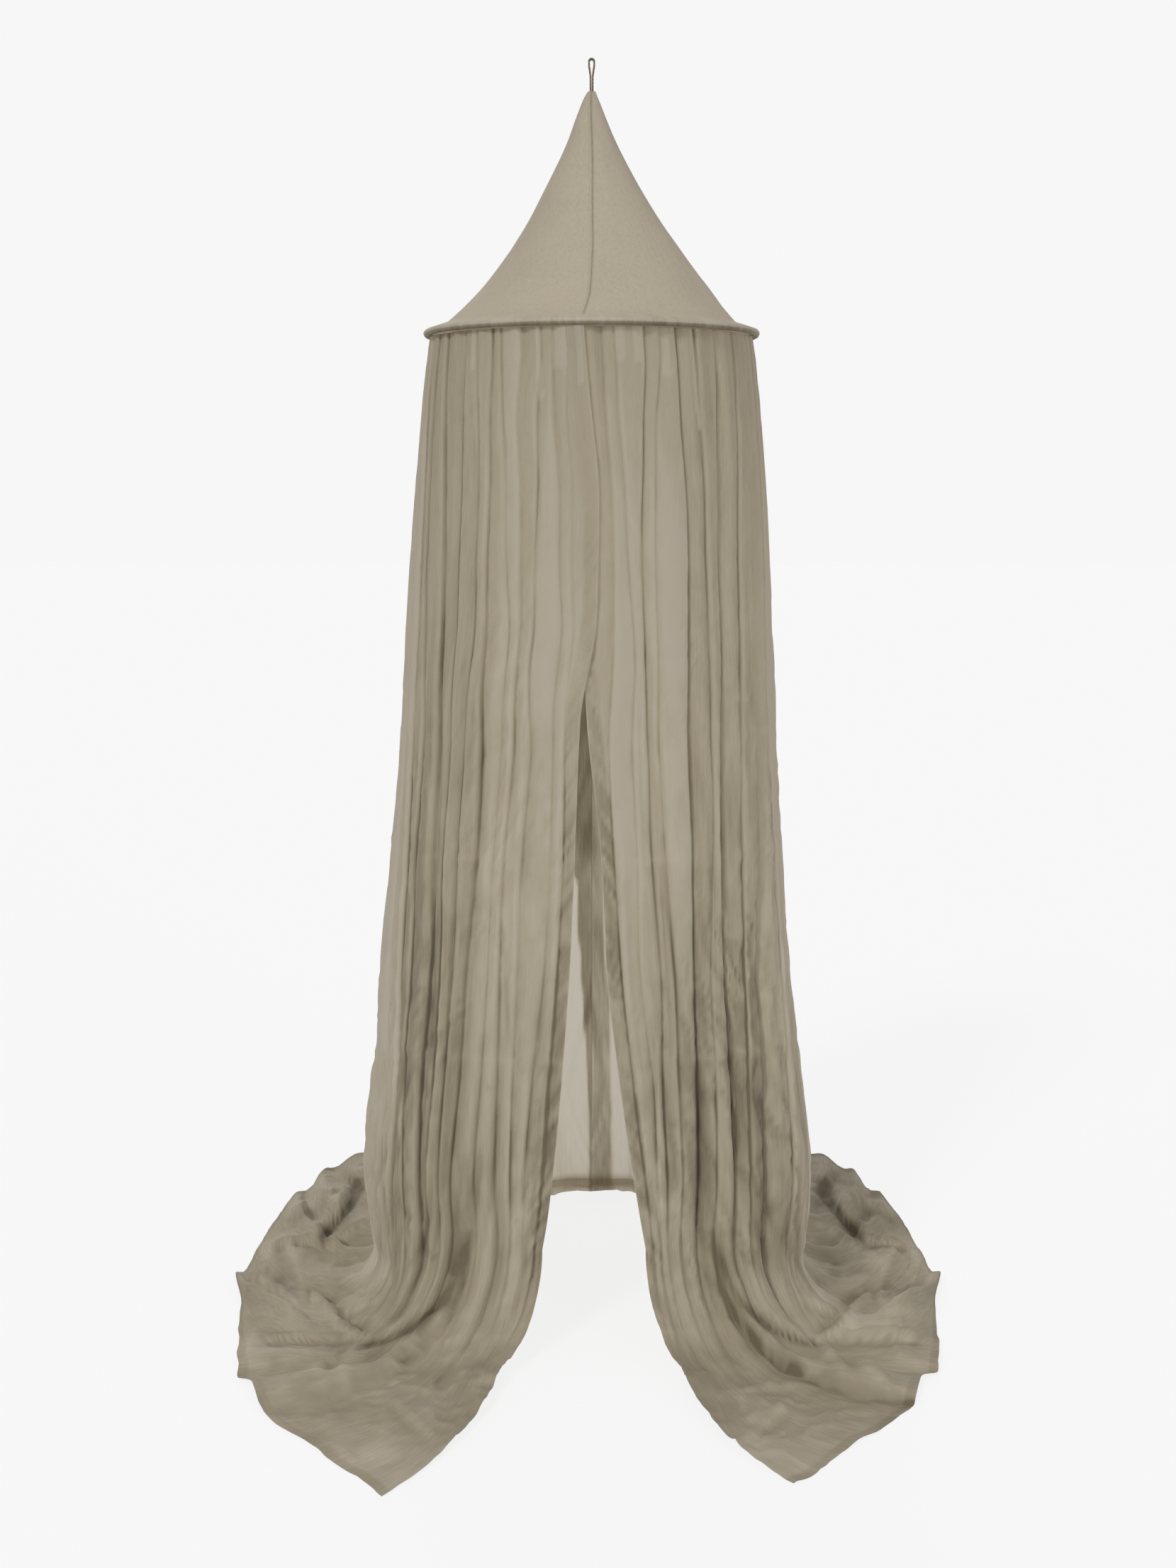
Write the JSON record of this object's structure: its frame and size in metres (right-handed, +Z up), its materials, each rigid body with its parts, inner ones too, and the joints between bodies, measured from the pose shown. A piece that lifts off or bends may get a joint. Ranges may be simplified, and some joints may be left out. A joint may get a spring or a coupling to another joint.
{
  "type": "bed canopy with hoop",
  "caption": "Hanging bed canopy of thin cloth: a pointed hood over a round hoop, and a long pleated skirt that opens at the front and spreads on the floor.",
  "frame": {"origin": "the inside top of the hanging loop's eye, where a ceiling hook bears; the floor that the train lies on is 1.842 m below it", "axes": "+Z up, -Y towards the front opening, +X to the right as seen from the front"},
  "size_m": [1.0983, 1.385, 1.8447],
  "materials": {
    "skirt_cloth": "fine slightly sheer cotton, olive beige, lightly creased",
    "hood_cloth": "the same cotton, stretched smooth",
    "hoop_rod": "plain pale rod",
    "loop_tape": "dark taupe woven tape"
  },
  "bodies": {
    "root": {"skirt": "skirt_cloth", "hood": "hood_cloth", "hoop": "hoop_rod", "hanging_loop": "loop_tape"}
  },
  "joints": []
}
